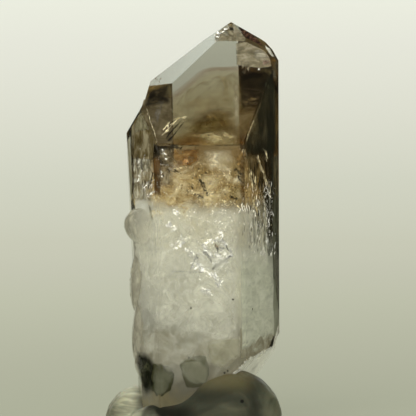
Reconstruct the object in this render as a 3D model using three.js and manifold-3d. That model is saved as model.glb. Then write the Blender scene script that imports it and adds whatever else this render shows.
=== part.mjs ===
// A quartz point with a parallel-grown rib down its side, pressed into a lump of mounting putty.
// Millimetres, +Z up. The front of the point faces -Y, and the origin is under the middle of the
// whole object, on the surface that the putty stands on.

import * as THREE from 'three';
import { ConvexGeometry } from 'three/addons/geometries/ConvexGeometry.js';
import { mergeVertices } from 'three/addons/utils/BufferGeometryUtils.js';
import Module from 'manifold-3d';

const wasm = await Module();
wasm.setup();

// Driving dimensions -------------------------------------------------------------------------

const CENTRE_HEIGHT = 38.5;   // height of the point's middle, which face distances are measured from
const YAW = 3.9;              // degrees that the whole point is turned about its long axis
const LEAN = 0.5;             // degrees that the point leans to the left
const TIP_RISE = 38.2;        // degrees above the horizontal that quartz's main tip faces look
const POCKET_GAP = 0.3;       // clearance between the putty and the point

// A face is [azimuth, elevation, distance]: the azimuth from the front (-Y) towards the right
// (+X) and the elevation of its outward normal, in degrees, and how far it is from the middle.
const PRISM = [
  [0, 0, 9.57],
  [60, 0, 9.22],
  [123, -0.5, 10.55],
  [180, 0, 10.97],
  [-120, 0, 9.97],
  [-60, 0, 12.03],
  [-87, -2.4, 11.77],
];
const TIP = [
  [0, TIP_RISE, 13.89],
  [120, TIP_RISE, 24.2],
  [-120, TIP_RISE, 18.1],
  [60, TIP_RISE, 21.75],
];
const CAP = [0, 50, 18.38];
const SHOULDER = [-92, 17.5, 14.72];
const FOOT = [0, -90, 35.0];

// The broken base: two rough planes, and the hollows of chips: [centre x, y, z], radius.
const BREAKS = [
  [66, -40, 21.85],
  [100, -24, 18.95],
];
const CHIPS = [
  [[7.2, -7.6, -25.2], 2.3],
  [[10.2, -3.6, -24.4], 2.5],
  [[12.4, 1.6, -22.0], 1.9],
  [[3.2, -12.0, -26.9], 2.6],
];

// The rib that grew parallel to the point, down its left side.
const RIB = [
  [-60, 0, 12.17],
  [-87, -2.4, 12.5],
  [-120, 0, 10.75],
  [-150, 0, 6.5],
  [-92, 30, 17.25],
  [0, TIP_RISE, 13.75],
  [-120, TIP_RISE, 17.9],
  [90, 0, -4.0],
  [0, 0, 9.4],
];
const RIB_FOOT = [0, -90, 34.0];

// Rounded growths on the left side: [centre x, y, z], [radii], tilt in degrees about Y.
const GROWTHS = [
  [[-9.9, -4.6, -2.6], [3.4, 4.4, 3.0], 12],
  [[-10.9, -1.6, -11.2], [1.6, 4.2, 5.6], 3],
  [[-10.6, -2.2, -19.0], [1.5, 3.8, 6.0], 4],
  [[-9.9, -2.6, -24.4], [1.9, 3.6, 2.9], -6],
];

// The lump of putty: overlapping lobes, [centre x, y, z], [radii], that run into one another over
// LOBE_BLEND, cut flat where they stand. HEART is a place inside both the lump and the point.
const LOBES = [
  [[3.9, -7.6, -32.8], [7.8, 6.8, 7.7]],
  [[-11.5, 1.0, -33.9], [5.0, 7.6, 5.0]],
  [[-3.9, -7.2, -36.6], [10.2, 6.6, 5.9]],
  [[-1.0, 7.6, -36.0], [11.0, 8.4, 6.8]],
  [[4.6, 3.0, -35.6], [6.6, 8.0, 6.6]],
  [[-0.6, -8.2, -34.9], [6.6, 5.4, 5.8]],
  [[-6.0, 0.4, -38.5], [9.5, 9.0, 4.6]],
];
const LOBE_BLEND = 0.5;
const HEART = [-7.5, -1.0, -33.5];
const PUTTY_REACH = 26.0;

// Convex bodies bounded by faces ---------------------------------------------------------------

// The plane of a face, on the point as it leans in the putty.
function facePlane([azimuth, elevation, distance], grow = 0) {
  const turn = THREE.MathUtils.degToRad(azimuth + YAW);
  const rise = THREE.MathUtils.degToRad(elevation);
  const normal = new THREE.Vector3(
    Math.sin(turn) * Math.cos(rise),
    -Math.cos(turn) * Math.cos(rise),
    Math.sin(rise),
  );
  normal.applyAxisAngle(new THREE.Vector3(0, 1, 0), -THREE.MathUtils.degToRad(LEAN));
  return new THREE.Plane(normal, -(distance + grow));
}

// The corner where three faces meet, or null where two of them are nearly parallel.
function cornerOf(a, b, c) {
  const bc = new THREE.Vector3().crossVectors(b.normal, c.normal);
  const volume = a.normal.dot(bc);
  if (Math.abs(volume) < 1e-3) return null;
  const ca = new THREE.Vector3().crossVectors(c.normal, a.normal);
  const ab = new THREE.Vector3().crossVectors(a.normal, b.normal);
  return bc.multiplyScalar(-a.constant)
    .addScaledVector(ca, -b.constant)
    .addScaledVector(ab, -c.constant)
    .divideScalar(volume);
}

function bodyFromFaces(faces, grow = 0) {
  const planes = faces.map((face) => facePlane(face, grow));
  const corners = [];
  for (let i = 0; i < planes.length; i++) {
    for (let j = i + 1; j < planes.length; j++) {
      for (let k = j + 1; k < planes.length; k++) {
        const corner = cornerOf(planes[i], planes[j], planes[k]);
        if (corner && planes.every((p) => p.distanceToPoint(corner) < 1e-6)) corners.push(corner);
      }
    }
  }
  return new ConvexGeometry(corners);
}

// Solids and meshes --------------------------------------------------------------------------

function toSolid(geometry) {
  const bare = geometry.clone();
  bare.deleteAttribute('normal');
  bare.deleteAttribute('uv');
  const merged = mergeVertices(bare, 1e-5);
  return new wasm.Manifold(new wasm.Mesh({
    numProp: 3,
    vertProperties: new Float32Array(merged.attributes.position.array),
    triVerts: new Uint32Array(merged.index.array),
  }));
}

function toGeometry(solid) {
  const mesh = solid.getMesh();
  const geometry = new THREE.BufferGeometry();
  geometry.setAttribute('position', new THREE.BufferAttribute(mesh.vertProperties, 3));
  geometry.setIndex(new THREE.BufferAttribute(mesh.triVerts, 1));
  geometry.computeVertexNormals();
  return geometry;
}

// The point ----------------------------------------------------------------------------------

// A rounded growth: an ellipsoid with a few low swells, so that it isn't quite regular.
function growthGeometry([centre, radii, tilt], grow = 0) {
  const geometry = new THREE.SphereGeometry(1, 28, 18);
  const position = geometry.attributes.position;
  const point = new THREE.Vector3();
  for (let i = 0; i < position.count; i++) {
    point.fromBufferAttribute(position, i);
    const swell = 1 + 0.05 * Math.sin(3.1 * point.x + 2.3 * point.z + centre[2])
      * Math.cos(2.7 * point.y - 1.9 * point.z);
    point.multiplyScalar(swell);
    position.setXYZ(i, point.x, point.y, point.z);
  }
  geometry.scale(radii[0] + grow, radii[1] + grow, radii[2] + grow);
  geometry.rotateY(THREE.MathUtils.degToRad(tilt));
  geometry.translate(...centre);
  return geometry;
}

// The whole point, or the point with each face moved outwards by grow.
function pointSolid(grow = 0) {
  const main = bodyFromFaces([...PRISM, ...TIP, CAP, SHOULDER, ...BREAKS, FOOT], grow);
  const rib = bodyFromFaces([...RIB, ...BREAKS, RIB_FOOT], grow);
  let solid = toSolid(main).add(toSolid(rib));
  for (const growth of GROWTHS) solid = solid.add(toSolid(growthGeometry(growth, grow)));
  for (const [centre, radius] of CHIPS) {
    const chip = new THREE.SphereGeometry(radius - grow, 24, 16).translate(...centre);
    solid = solid.subtract(toSolid(chip));
  }
  return solid;
}

const crystal = new THREE.Mesh(
  toGeometry(pointSolid()),
  new THREE.MeshStandardMaterial({ color: 0xd8d6c4, roughness: 0.05, metalness: 0 }),
);
crystal.name = 'crystal';

// The putty ----------------------------------------------------------------------------------

// How far a place is outside an ellipsoid, or inside it where negative.
function lobeDistance(place, [centre, radii]) {
  const x = (place.x - centre[0]) / radii[0];
  const y = (place.y - centre[1]) / radii[1];
  const z = (place.z - centre[2]) / radii[2];
  return (Math.hypot(x, y, z) - 1) * Math.min(...radii);
}

// How far a place is outside the lump: the lobes' distances, blended where they are close.
function lumpDistance(place) {
  let sum = 0;
  for (const lobe of LOBES) sum += Math.exp(-lobeDistance(place, lobe) / LOBE_BLEND);
  return -Math.log(sum) * LOBE_BLEND;
}

// A sphere around HEART whose every corner is moved along its ray to the lump's surface.
function lumpGeometry() {
  const geometry = new THREE.SphereGeometry(1, 72, 44);
  const heart = new THREE.Vector3(...HEART);
  const position = geometry.attributes.position;
  const ray = new THREE.Vector3();
  const place = new THREE.Vector3();
  for (let i = 0; i < position.count; i++) {
    ray.fromBufferAttribute(position, i).normalize();
    let inner = 0;
    let outer = PUTTY_REACH;
    for (let step = 0; step < 30; step++) {
      const middle = (inner + outer) / 2;
      place.copy(heart).addScaledVector(ray, middle);
      if (lumpDistance(place) < 0) inner = middle;
      else outer = middle;
    }
    position.setXYZ(i, ...place.toArray());
  }
  return geometry;
}

function puttySolid() {
  const below = new THREE.BoxGeometry(80, 80, 20).translate(0, 0, -CENTRE_HEIGHT - 10);
  const standing = toSolid(lumpGeometry()).subtract(toSolid(below));
  return standing.subtract(pointSolid(POCKET_GAP));
}

const putty = new THREE.Mesh(
  toGeometry(puttySolid()),
  new THREE.MeshStandardMaterial({ color: 0x6c6e60, roughness: 0.35, metalness: 0 }),
);
putty.name = 'putty';

// The whole object ---------------------------------------------------------------------------

const part = new THREE.Group();
part.add(crystal, putty);

// The footprint's middle goes over the origin, and the putty's underside onto the ground.
const box = new THREE.Box3().setFromObject(part);
part.position.set(-(box.min.x + box.max.x) / 2, -(box.min.y + box.max.y) / 2, CENTRE_HEIGHT);

export default part;
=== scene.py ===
import math
from functools import cached_property

import bmesh
import bpy
import numpy as np
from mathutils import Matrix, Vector


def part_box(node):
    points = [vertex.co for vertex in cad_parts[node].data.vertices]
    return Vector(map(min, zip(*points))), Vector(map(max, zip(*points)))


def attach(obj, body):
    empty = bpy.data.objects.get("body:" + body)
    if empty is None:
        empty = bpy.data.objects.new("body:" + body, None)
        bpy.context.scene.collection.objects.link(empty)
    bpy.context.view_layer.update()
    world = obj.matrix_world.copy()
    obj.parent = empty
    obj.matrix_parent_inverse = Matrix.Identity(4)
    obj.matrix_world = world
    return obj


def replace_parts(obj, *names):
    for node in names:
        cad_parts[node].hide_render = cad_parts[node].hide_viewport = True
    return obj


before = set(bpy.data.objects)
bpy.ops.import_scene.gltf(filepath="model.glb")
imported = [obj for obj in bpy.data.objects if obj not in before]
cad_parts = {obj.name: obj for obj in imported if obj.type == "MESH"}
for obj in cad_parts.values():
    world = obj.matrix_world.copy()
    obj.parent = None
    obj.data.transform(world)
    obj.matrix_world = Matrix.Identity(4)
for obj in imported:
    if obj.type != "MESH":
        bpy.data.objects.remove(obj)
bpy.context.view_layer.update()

bl_info = {
    "name": "Phantom quartz point",
    "version": (1, 0, 0),
    "blender": (4, 5, 0),
    "location": "View3D > Sidebar > Quartz",
    "description": "A smoky phantom quartz point standing in a lump of mounting putty",
    "category": "Add Mesh",
}

MM = 0.001
BODY = "root"
POINT_LOW, POINT_HIGH = (np.array(corner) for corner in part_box("crystal"))
PUTTY_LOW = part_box("putty")[0]
# The point's middle, which every place inside it is measured from: in from its right side, its
# front and its tip.
MIDDLE = np.array([POINT_HIGH[0], POINT_LOW[1], POINT_HIGH[2]]) + np.array(
    [-11.51, 10.12, -29.84]) * MM
PAPER = 0.8                 # metres, out along the floor and up the wall, of the paper's tones

# The point's faces: azimuth from the front (-Y) towards the right (+X), and rise, in degrees.
FACES = {
    "front": (4, 0), "right": (64, 0), "back_right": (127, 0), "back": (184, 0),
    "back_left": (-116, 0), "left": (-56, 0), "far_left": (-83, -2),
    "tip_front": (4, 38), "tip_right": (64, 38), "tip_back_right": (124, 38),
    "tip_back_left": (-116, 38), "cap": (4, 50), "shoulder": (-88, 18),
    "break_low": (70, -40), "break_side": (104, -24),
}
PRISM = ("front", "right", "back_right", "back", "back_left", "left", "far_left")
TIP = ("tip_front", "tip_right", "tip_back_right", "tip_back_left", "cap", "shoulder")
BREAKS = ("break_low", "break_side")
FACE_SPREAD = 3     # degrees that a face's triangles may look away from its azimuth and rise

# Everything below is in millimetres from MIDDLE.
# Rounded growths down the left side: centre, radii, tilt in degrees about Y, and how far inside
# the quartz the milky one is.
GROWTHS = (
    ((-9.9, -4.6, -2.6), (3.4, 4.4, 3.0), 12, 0.13),
    ((-10.9, -1.6, -11.2), (1.6, 4.2, 5.6), 3, 0.13),
    ((-10.6, -2.2, -19.0), (1.5, 3.8, 6.0), 4, 0.3),
    ((-9.9, -2.6, -24.4), (1.9, 3.6, 2.9), -6, 0.8),
)
# The putty's overlapping lobes: centre, radii. HEART is inside both the putty and the point.
LOBES = (
    ((3.9, -7.6, -32.8), (7.8, 6.8, 7.7)),
    ((-11.5, 1.0, -33.9), (5.0, 7.6, 5.0)),
    ((-3.9, -7.2, -36.6), (10.2, 6.6, 5.9)),
    ((-1.0, 7.6, -36.0), (11.0, 8.4, 6.8)),
    ((4.6, 3.0, -35.6), (6.6, 8.0, 6.6)),
    ((-0.6, -8.2, -34.9), (6.6, 5.4, 5.8)),
    ((-6.0, 0.4, -38.5), (9.5, 9.0, 4.6)),
    ((-6.4, -8.4, -34.6), (6.0, 3.4, 4.3)),
)
LOBE_BLEND = 0.5
LUMP_REACH = 26.0
LUMP_SINK = 0.15            # how far the drawn putty is inside its lobes
LUMP_SWELLS = ((0.10, 7.0, 71), (0.04, 2.4, 72))    # waves on it: amount, size, seed
HEART = (-7.5, -1.0, -33.5)
FLOOR_CRISP = 14.0          # how sharply the putty's side turns into its underside

# Thin curved chips: how deep they dish, how uneven their outline is, and its corners.
CHIP_DISH, CHIP_RAGGED, CHIP_CORNERS = 0.5, 0.3, 8
THINNEST = 0.06             # the least thickness of a dome's wall
VEIL_CRISP = 40             # how sharp the corners of a veil's outline are
FRAY = 6                    # how far its patches move the heights where a cloud fades
TINY = 1e-6


# --- sizes and colours -----------------------------------------------------------------------

def display(red, green, blue):
    """Display values of 0 to 255 as the linear colour that shaders take."""
    level = np.array([red, green, blue]) / 255
    return tuple(np.where(level <= 0.04045, level / 12.92, ((level + 0.055) / 1.055) ** 2.4))


def shade(name, description, *levels):
    """A colour setting, from its display values of 0 to 255."""
    return bpy.props.FloatVectorProperty(
        name=name, description=description, subtype="COLOR", size=3, min=0, max=1,
        default=display(*levels))


def measure(name, description, value, **more):
    """A number setting."""
    return bpy.props.FloatProperty(name=name, description=description, default=value, **more)


def darkening(zone, value):
    """The setting for a zone's density."""
    return measure(f"{zone} density", f"How fast the {zone.lower()} darkens, per metre", value)


class QuartzSettings(bpy.types.PropertyGroup):
    clear: shade("Clear quartz", "What a thick slab of the clear quartz lets through",
                 149, 139, 124)
    clear_density: darkening("Clear quartz", 36.0)
    haze: shade("Haze", "What the hazy growth zone lets through", 230, 217, 172)
    haze_density: darkening("Haze", 85.0)
    line: shade("Phantom line", "What the line along the phantom lets through", 210, 182, 150)
    line_density: darkening("Phantom line", 130.0)
    brown: shade("Brown zone", "What the brown growth zone lets through", 215, 193, 146)
    brown_density: darkening("Brown zone", 130.0)
    golden: shade("Golden zone", "What the golden growth zone lets through", 232, 220, 182)
    golden_density: darkening("Golden zone", 80.0)
    milk: shade("Milk", "The milky half where it is whitest", 226, 225, 205)
    # Low milk is the milk's tan darkened by painted shade, down in the putty.
    milk_low_shade: shade("Low milk", "The milky half down in the putty", 122, 114, 84)
    cream: shade("Cream", "The brightest of the golden clouds", 252, 244, 210)
    gold: shade("Gold", "The golden clouds", 214, 200, 154)
    amber: shade("Amber", "The darkest of the golden clouds", 160, 134, 86)
    # Flash is the colour of the cracks' painted glints.
    flash: shade("Flash", "The brightest of the cracks", 255, 254, 244)
    ink: shade("Ink", "The darkest grains and crack edges", 44, 38, 24)


class PuttySettings(bpy.types.PropertyGroup):
    dark: shade("Dark", "The darkest of the putty", 46, 47, 35)
    main: shade("Main", "Most of the putty", 58, 59, 46)
    # Pale is also the base of the painted light on the left lobe and the painted highlight on the
    # right rim.
    pale: shade("Pale", "The pale kneaded streaks", 86, 86, 68)
    warm: shade("Warm", "The putty's brown tinge beside the point", 92, 86, 58)
    roughness: measure("Roughness", "Of the putty's skin", 0.42, subtype="FACTOR", min=0, max=1)


class StageSettings(bpy.types.PropertyGroup):
    distance: measure("Camera distance", "From the camera to the point's middle", 0.4,
                      unit="LENGTH")
    rise: measure("Camera rise", "How far the camera looks down", math.radians(3.0),
                  subtype="ANGLE")
    lens: measure("Lens", "Focal length in millimetres", 216.35)
    glow: measure("Paper glow", "How much light the pale paper gives", 0.74)


# --- shapes worked out with numpy --------------------------------------------------------------

def unit(vectors):
    """The vectors with their lengths made 1."""
    return vectors / np.linalg.norm(vectors, axis=-1, keepdims=True)


def heading(turn, rise):
    """The unit vector at an azimuth from the front towards the right and a rise, in degrees."""
    turn, rise = np.radians(turn), np.radians(rise)
    return np.array([np.sin(turn) * np.cos(rise), -np.cos(turn) * np.cos(rise), np.sin(rise)])


def tilted(vectors, tilt):
    """The vectors turned about Y by tilt degrees."""
    c, s = math.cos(math.radians(tilt)), math.sin(math.radians(tilt))
    return vectors @ np.array([[c, 0, s], [0, 1, 0], [-s, 0, c]]).T


def full_turn(count):
    """Angles spaced evenly round a circle, in radians."""
    return np.linspace(0, 2 * np.pi, count, endpoint=False)


def find_faces():
    """Each named face's outward normal and distance from MIDDLE, from the CAD point's mesh.

    A face's triangles are those that look its way; their normals and distances are averaged,
    weighted by area squared so that small facets on the lumps count for nothing."""
    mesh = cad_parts["crystal"].data
    count = len(mesh.polygons)
    area, normal, centre = np.empty(count), np.empty(3 * count), np.empty(3 * count)
    mesh.polygons.foreach_get("area", area)
    mesh.polygons.foreach_get("normal", normal)
    mesh.polygons.foreach_get("center", centre)
    normal, centre = normal.reshape(-1, 3), centre.reshape(-1, 3)
    distance = (normal * (centre - MIDDLE)).sum(1)
    found = {}
    for name, way in FACES.items():
        weight = area ** 2 * (normal @ heading(*way) > math.cos(math.radians(FACE_SPREAD)))
        mean = (normal * weight[:, None]).sum(0)
        found[name] = (unit(mean), (distance * weight).sum() / weight.sum())
    return found


FOUND = find_faces()


def walls(inset, names=tuple(FACES), drop=0.0, more=()):
    """Planes inside the point: its faces moved in by inset and down by drop, in millimetres.

    inset is one number, or a dictionary with "" for the faces that it doesn't name. more adds
    planes as (azimuth, rise, distance)."""
    normals, distances = [], []
    for name in names:
        normal, distance = FOUND[name]
        step = inset.get(name, inset[""]) if isinstance(inset, dict) else inset
        lower = drop * normal[2] if name in TIP else 0.0
        normals.append(normal)
        distances.append(distance - (step + lower) * MM)
    for turn, rise, distance in more:
        normals.append(heading(turn, rise))
        distances.append(distance * MM)
    return np.array(normals), np.array(distances)


def reach(start, way, planes, crisp):
    """How far it is from start along way to the planes around it.

    Each plane's distance along the way is its gap over the cosine to its normal. The inverse
    distances are joined by a power mean, so edges are rounder where crisp is lower."""
    normals, distances = planes
    gap = np.maximum(distances - start @ normals.T, TINY)
    pull = np.maximum(way @ normals.T, 0) / gap
    return 1 / (pull ** crisp).sum(-1) ** (1 / crisp)


def waves(places, size, seed, count=28):
    """Smooth unevenness of about -1 to 1: sine waves in seeded directions, half size to almost
    twice size in length."""
    chance = np.random.default_rng(seed)
    way = unit(chance.normal(size=(count, 3))) / (size * chance.uniform(0.5, 1.8, (count, 1)))
    phase = chance.uniform(0, 2 * np.pi, count)
    return np.sin(2 * np.pi * places @ way.T + phase).sum(-1) / math.sqrt(count / 2)


def mark(mesh, name, values):
    """Give a mesh an attribute with a value for each point."""
    mesh.attributes.new(name, "FLOAT", "POINT").data.foreach_set("value", values)


def put_in_mesh(name, points, faces, **marks):
    """A smooth mesh, with its attributes."""
    mesh = bpy.data.meshes.new(name)
    mesh.from_pydata(points.tolist(), [], faces)
    mesh.polygons.foreach_set("use_smooth", np.full(len(mesh.polygons), True))
    for key, values in marks.items():
        mark(mesh, key, values)
    return mesh


def grid_faces(rows, columns):
    """The quads of a grid of rows by columns, with each row's ends joined."""
    number = np.arange(rows * columns).reshape(rows, columns)
    number = np.concatenate([number, number[:, :1]], axis=1)
    quads = np.stack([number[:-1, :-1], number[:-1, 1:], number[1:, 1:], number[1:, :-1]], -1)
    return quads.reshape(-1, 4).tolist()


def fan(ring, pole):
    """The triangles between a ring of points and a pole."""
    return np.stack([ring, np.roll(ring, -1), np.full(len(ring), pole)], -1).tolist()


def with_pole(grid):
    """A grid's points, or their values, in one row, with only the first of the last ring."""
    return np.concatenate([grid[:-1].reshape(-1, *grid.shape[2:]), grid[-1, :1]])


def capped(name, points, **marks):
    """A sheet from rings of points to a pole, which is the last ring's first point."""
    rows, columns = points.shape[0] - 1, points.shape[1]
    faces = grid_faces(rows, columns)
    faces += fan((rows - 1) * columns + np.arange(columns), rows * columns)
    marks = {key: with_pole(values) for key, values in marks.items()}
    return put_in_mesh(name, with_pole(points), faces, **marks)


def ball(name, points, poles, **marks):
    """A closed skin from rings of points, bottom to top, with a pole below and one above."""
    rows, columns = points.shape[:2]
    ring = np.arange(columns)
    faces = grid_faces(rows, columns)
    faces += [[after, first, pole] for first, after, pole in fan(ring, rows * columns)]
    faces += fan(ring + (rows - 1) * columns, rows * columns + 1)
    return put_in_mesh(name, np.concatenate([points.reshape(-1, 3), poles]), faces, **marks)


def aimed(turn, rise):
    """Unit directions, turned from +X about Z and then raised, in radians."""
    return np.stack([np.cos(rise) * np.cos(turn), np.cos(rise) * np.sin(turn),
                     np.sin(rise) + 0 * turn], -1)


def ways_around(spread, rows, columns, low=-90.0):
    """Unit directions of an ellipsoid's grid, from a rise of low degrees up to the pole."""
    rise = np.linspace(math.radians(low), np.pi / 2, rows)[:, None]
    return unit(aimed(full_turn(columns)[None, :], rise) * spread)


def rays(heart, spread, planes, crisp, rough, rows, columns, low=-90.0):
    """The start and the directions of a body around heart, its reach, and the waves on it.

    heart is in millimetres from MIDDLE. The directions are those of an ellipsoid of half-axes
    spread, so that a tall body gets even rows. Each of rough, (amount, size, seed) in
    millimetres, adds waves that are worked out on the surface that the ones before made."""
    start = np.array(heart) * MM
    way = ways_around(spread, rows, columns, low)
    far = reach(start, way, planes, crisp)
    step = 0.0
    for amount, size, seed in rough:
        at = start + way * (far + step)[..., None]
        step = step + amount * MM * waves(at, size * MM, seed)
    return start, way, far, step


def inner_body(name, heart, spread, planes, crisp, rough, rows=72, columns=110):
    """A closed body around heart that reaches out to the planes, with waves on it.

    The attribute "rim" is 0 where the body faces front or back, and 1 around its outline."""
    start, way, far, step = rays(heart, spread, planes, crisp, rough, rows + 2, columns)
    points = MIDDLE + start + way * (far + step)[..., None]
    rim = np.hypot(way[..., 0], way[..., 2])
    rim = np.concatenate([rim[1:-1].ravel(), rim[[0, -1], 0]])
    return ball(name, points[1:-1], points[[0, -1], 0], rim=rim)


def dome_shell(name, heart, spread, outer, inner, crisp, rough, low, rows=50, columns=110):
    """A closed dome with a wall: an outer and an inner skin, joined around the rim below.

    Both skins reach out from heart to their own planes, and share the same waves, so that the
    wall keeps its thickness; the inner one never comes closer than THINNEST to the outer."""
    start, way, far, step = rays(heart, spread, outer, crisp, rough, rows, columns, low)
    near = np.minimum(reach(start, way, inner, crisp), far - THINNEST * MM)
    inside, outside = (MIDDLE + start + way * (skin + step)[..., None] for skin in (near, far))
    poles = np.array([inside[-1, 0], outside[-1, 0]])
    return ball(name, np.concatenate([inside[:-1][::-1], outside[:-1]]), poles)


def dome_sheet(name, heart, spread, planes, crisp, rough, low=5.0, rows=50, columns=120):
    """A thin open dome that reaches out from heart to the planes, as inner_body does.

    The attribute "edge" falls from 1 at the rim to 0 a quarter of the way up."""
    start, way, far, step = rays(heart, spread, planes, crisp, rough, rows, columns, low)
    edge = np.clip(1 - 4 * np.linspace(0, 1, rows), 0, 1)[:, None] * np.ones(columns)
    return capped(name, MIDDLE + start + way * (far + step)[..., None], edge=edge)


def ellipsoid(name, centre, radii, tilt, rough, rows=28, columns=44):
    """A closed ellipsoid, tilted about Y in degrees; rough adds waves along its radii."""
    way = ways_around((1, 1, 1), rows + 2, columns)
    points = way * np.array(radii) * MM
    for amount, size, seed in rough:
        points = points + way * (amount * MM * waves(points, size * MM, seed))[..., None]
    points = MIDDLE + np.array(centre) * MM + tilted(points, tilt)
    return ball(name, points[1:-1], points[[0, -1], 0])


def on_face(face, flat, deep):
    """Places given across and up a face and deep inside it, as millimetres from MIDDLE."""
    normal, distance = FOUND[face]
    across = unit(np.cross([0, 0, 1], normal))
    up = np.cross(normal, across)
    return normal * (distance / MM - deep) + flat[..., :1] * across + flat[..., 1:] * up


def veil(name, face, outline, inset, seed, bow=0.2, swell=0.06, size=2.5, rings=16, columns=120):
    """A thin curved sheet just inside a face: rings from a convex outline to its middle.

    The outline is in millimetres across and up the face. The sheet is inset deep in its middle,
    and deeper by bow times the square of a ring's share at the outline, with waves on it of
    that swell and size. The attribute "edge" is a ring's share: 1 at the outline and 0 in the
    middle."""
    corners = np.array(outline)
    middle = corners.mean(0)
    side = unit(np.roll(corners, -1, 0) - corners)
    out = np.stack([side[:, 1], -side[:, 0]], -1)
    gap = ((corners - middle) * out).sum(1)
    turn = full_turn(columns)
    way = np.stack([np.cos(turn), np.sin(turn)], -1)
    far = reach(np.zeros(2), way, (out * np.sign(gap)[:, None], np.abs(gap)), VEIL_CRISP)
    share = np.append(np.linspace(1, 0, rings, endpoint=False), 0.0)[:, None, None]
    places = on_face(face, middle + share * (far[:, None] * way), inset + bow * share ** 2)
    deeper = swell * (1 + waves(places, size, seed))
    places = places - FOUND[face][0] * deeper[..., None]
    return capped(name, MIDDLE + places * MM, edge=share[..., 0] * np.ones(columns))


def cloud_of(chance, count, centre, half):
    """Random places inside an ellipsoid, a little closer together towards its middle."""
    way = unit(chance.normal(size=(count, 3)))
    return np.array(centre) + np.array(half) * way * chance.uniform(0, 1, (count, 1)) ** 0.45


def along_face(chance, count, face, across, heights, inset):
    """Random places just inside a face: across it, up it and in by inset."""
    u, v, deep = (chance.uniform(*pair, (count, 1)) for pair in (across, heights, inset))
    return on_face(face, np.concatenate([u, v], 1), deep)


def along_lines(chance, face, lines, spacing, width, inset):
    """Places strewn along lines on a face, each with its line's direction in space.

    A line is its two ends, across and up the face: (u, v, u, v). It has a place each spacing,
    and three at least, that are off the line by about width."""
    places, ways = [], []
    for line in np.array(lines):
        start, step = line[:2], line[2:] - line[:2]
        count = max(3, round(np.linalg.norm(step) / spacing))
        share = (np.arange(count)[:, None] + chance.uniform(0, 1, (count, 1))) / count
        flat = start + share * step + chance.normal(0, width, (count, 2))
        places.append(on_face(face, flat, chance.uniform(*inset, (count, 1))))
        along = unit(on_face(face, step, 0.0) - on_face(face, step * 0, 0.0))
        ways.append(np.broadcast_to(along, (count, 3)))
    return np.concatenate(places), np.concatenate(ways)


def flakes(name, centres, size, slim, seed, lie=None, face=None, spin=0.5, rings=2):
    """Thin curved chips: a fan of rings around each centre, in the plane across its way.

    A chip is size (least, most) long and slim times as wide; its outline is uneven by
    CHIP_RAGGED, and it dishes along its way by CHIP_DISH times the square of the share of the
    radius. It lies along lie and looks along face, each turned at random by spin."""
    chance = np.random.default_rng(seed)
    count = len(centres)

    def around(main):
        loose = chance.normal(size=(count, 3))
        return unit(loose if main is None else np.array(main) + spin * loose)

    long = around(lie)
    way = unit(np.cross(long, np.cross(around(face), long)))
    wide = np.cross(way, long)
    turn = full_turn(CHIP_CORNERS)
    share = np.linspace(1, 0, rings, endpoint=False)[:, None]
    outline = 1 + CHIP_RAGGED * chance.uniform(-1, 1, (count, 1, CHIP_CORNERS))
    half = (chance.uniform(0, 1, (count, 1, 1)) ** 2 * (size[1] - size[0]) + size[0]) / 2
    x = half * outline * np.cos(turn) * share
    y = half * chance.uniform(*slim, (count, 1, 1)) * outline * np.sin(turn) * share
    z = half * CHIP_DISH * chance.uniform(0.2, 1, (count, 1, 1)) * share ** 2 * np.ones_like(turn)
    rim = centres[:, None, None] + sum(part[..., None] * axis[:, None, None] for part, axis in
                                       ((x, long), (y, wide), (z, way)))
    points = np.concatenate([rim.reshape(count, -1, 3), centres[:, None]], 1)
    each = rings * CHIP_CORNERS
    one = grid_faces(rings, CHIP_CORNERS)
    one += fan(np.arange(each - CHIP_CORNERS, each), each)
    faces = [[corner + number * (each + 1) for corner in quad] for number in range(count)
             for quad in one]
    return put_in_mesh(name, MIDDLE + points.reshape(-1, 3) * MM, faces)


def halved(low, high, inside, count):
    """Where inside, which holds at low and fails at high, stops holding, found by halving."""
    for _ in range(count):
        middle = (low + high) / 2
        held = inside(middle)
        low, high = np.where(held, middle, low), np.where(held, high, middle)
    return low


def lump_reach(start, way):
    """How far it is from start along way to the lump of putty, by halving, in millimetres.

    A place's distance to a lobe is its scaled radius less 1, times the lobe's least radius; the
    lobes' distances are blended as minus the log of the sum of their falling exponentials."""
    def inside(far):
        place = start + way * far[..., None]
        return 1 < sum(np.exp(-(np.linalg.norm((place - np.array(centre)) / radii, axis=-1) - 1)
                              * min(radii) / LOBE_BLEND) for centre, radii in LOBES)

    none = np.zeros(way.shape[:-1])
    return halved(none, none + LUMP_REACH, inside, count=26)


def putty_skin(rows=90, columns=180, crisp=120, crowding=1.6, hollow=1.4):
    """The lump's outside from its underside up to the rim, and its inside against the point.

    Both run out from HEART: the outside to the lobes or the ground, the inside to the point's
    faces. The rim's rise is where both are the same, found by halving for every direction. The
    rows crowd together towards the rim. hollow is how far below HEART the inside's pole is."""
    start = np.array(HEART)
    ground = (PUTTY_LOW[2] - MIDDLE[2]) / MM
    touching = walls(-0.02)
    turn = full_turn(columns)

    def outside(way):
        lump = lump_reach(start, way)
        at = start + way * lump[..., None]
        lump = lump - LUMP_SINK + sum(amount * waves(at, size, seed)
                                      for amount, size, seed in LUMP_SWELLS)
        floor = np.maximum(-way[..., 2], TINY) / (start[2] - ground)
        return (lump ** -FLOOR_CRISP + floor ** FLOOR_CRISP) ** (-1 / FLOOR_CRISP)

    def inside(way):
        return reach(start * MM, way, touching, crisp) / MM

    def buried(rise):
        way = aimed(turn, rise)
        return outside(way) > inside(way)

    level = np.zeros(columns)
    top = halved(level + math.radians(-55), level + math.radians(84), buried, count=24)
    share = (1 - (1 - np.linspace(0, 1, rows)) ** crowding)[1:, None]
    way = aimed(turn, -np.pi / 2 + share * (top + np.pi / 2))
    out = outside(way)[..., None] * way
    inner = np.minimum(inside(way), outside(way))[..., None] * way
    points = np.concatenate([out, inner[:-1][::-1]])
    poles = np.array([[0, 0, ground - start[2]], [0, 0, -hollow]])
    return ball("putty_lump", MIDDLE + (start + points) * MM, MIDDLE + (start + poles) * MM)


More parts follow.
